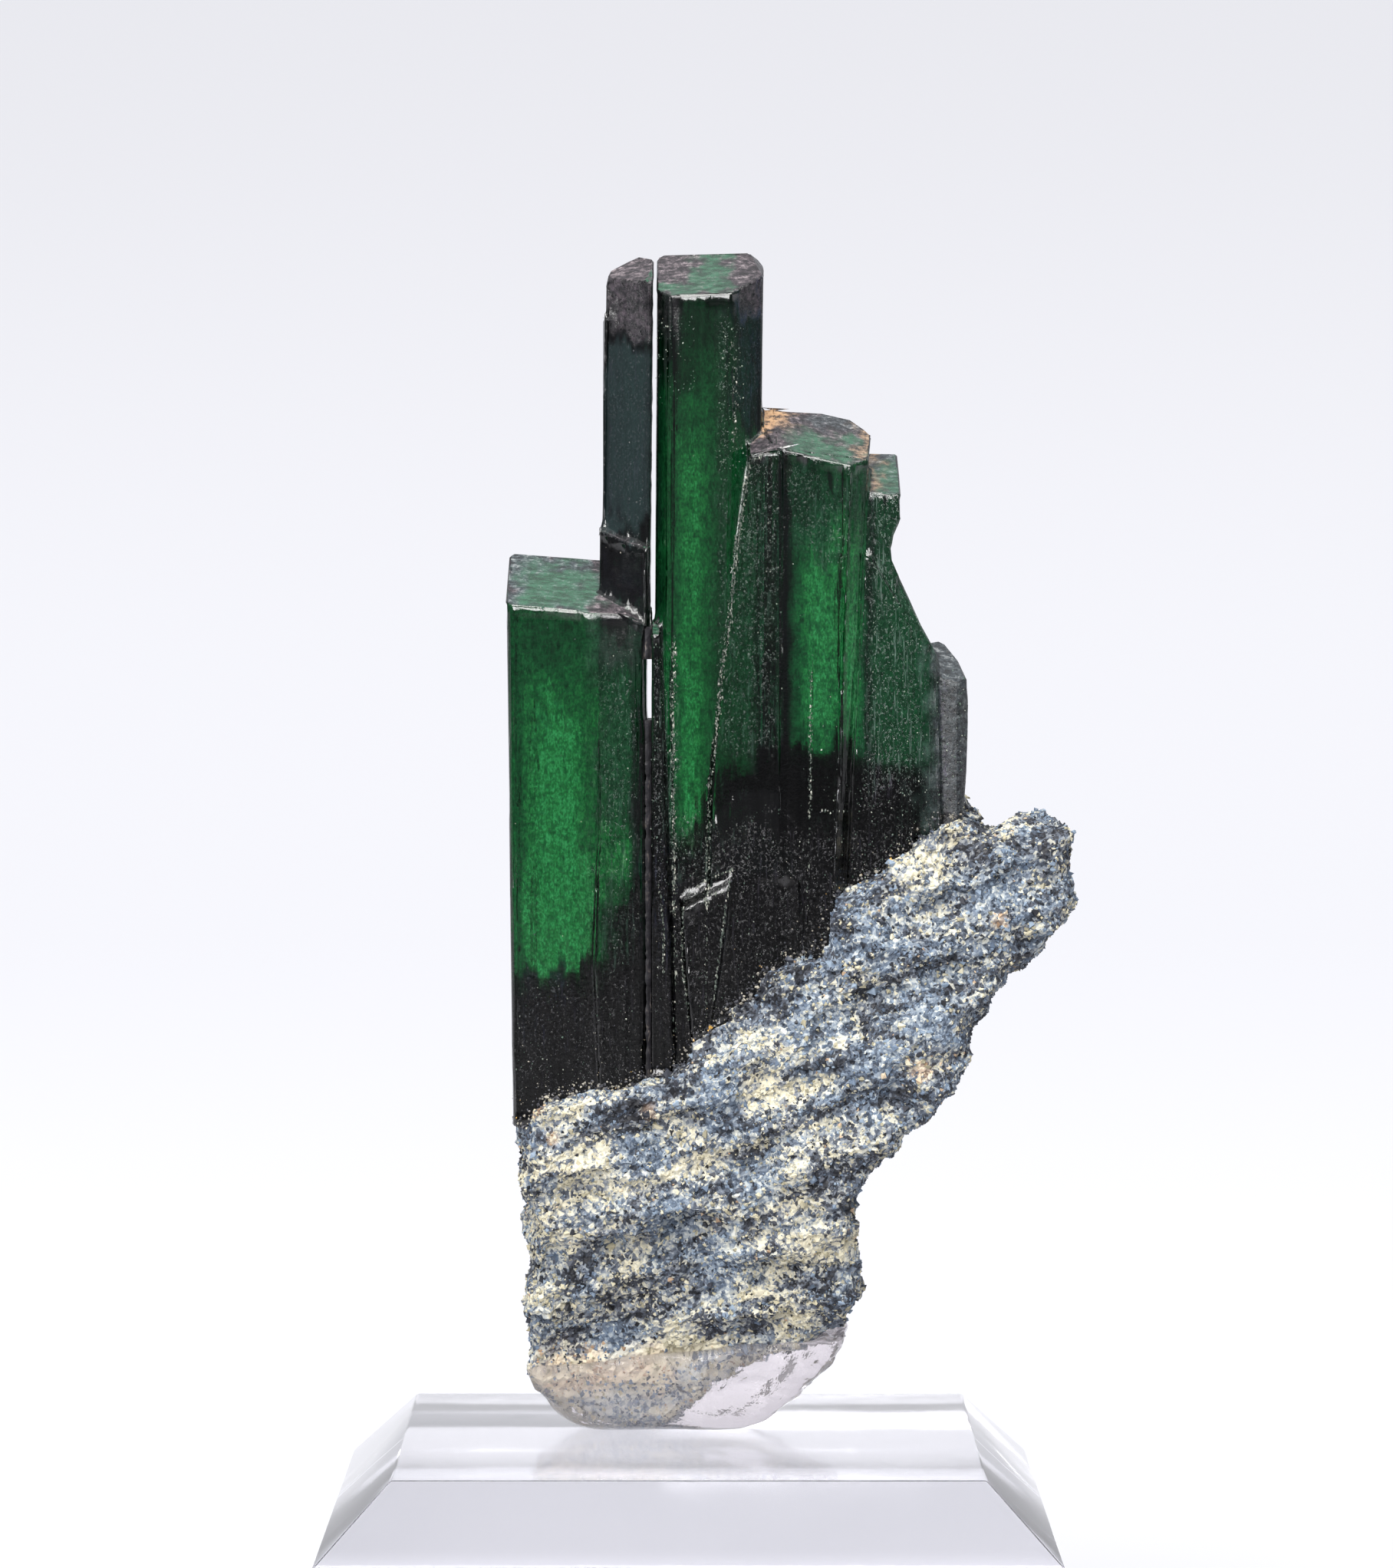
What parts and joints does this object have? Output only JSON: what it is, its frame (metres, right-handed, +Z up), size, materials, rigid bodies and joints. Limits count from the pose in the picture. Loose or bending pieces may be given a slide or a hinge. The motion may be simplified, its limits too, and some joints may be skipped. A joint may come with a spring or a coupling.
{
  "type": "vivianite crystal specimen on sandstone with a clear stand",
  "caption": "Green bladed vivianite crystals grown upright from a slab of grey-blue and cream sandstone, held by clear gel on a clear bevelled display block.",
  "frame": {"origin": "centre of the display block's flat underside", "axes": "+Z up along the crystals, -Y toward the front that shows the crystals' broad faces, +X to the right"},
  "size_m": [0.0399, 0.038, 0.082],
  "materials": {
    "clear_acrylic": "gloss",
    "clear_gel": "gloss",
    "sandstone": "matte",
    "vivianite": "gloss"
  },
  "bodies": {
    "root": {"acrylic_base": "clear_acrylic", "mounting_gel": "clear_gel", "sandstone_matrix": "sandstone", "left_crystal_group": "vivianite", "main_crystal_group": "vivianite"}
  },
  "joints": []
}
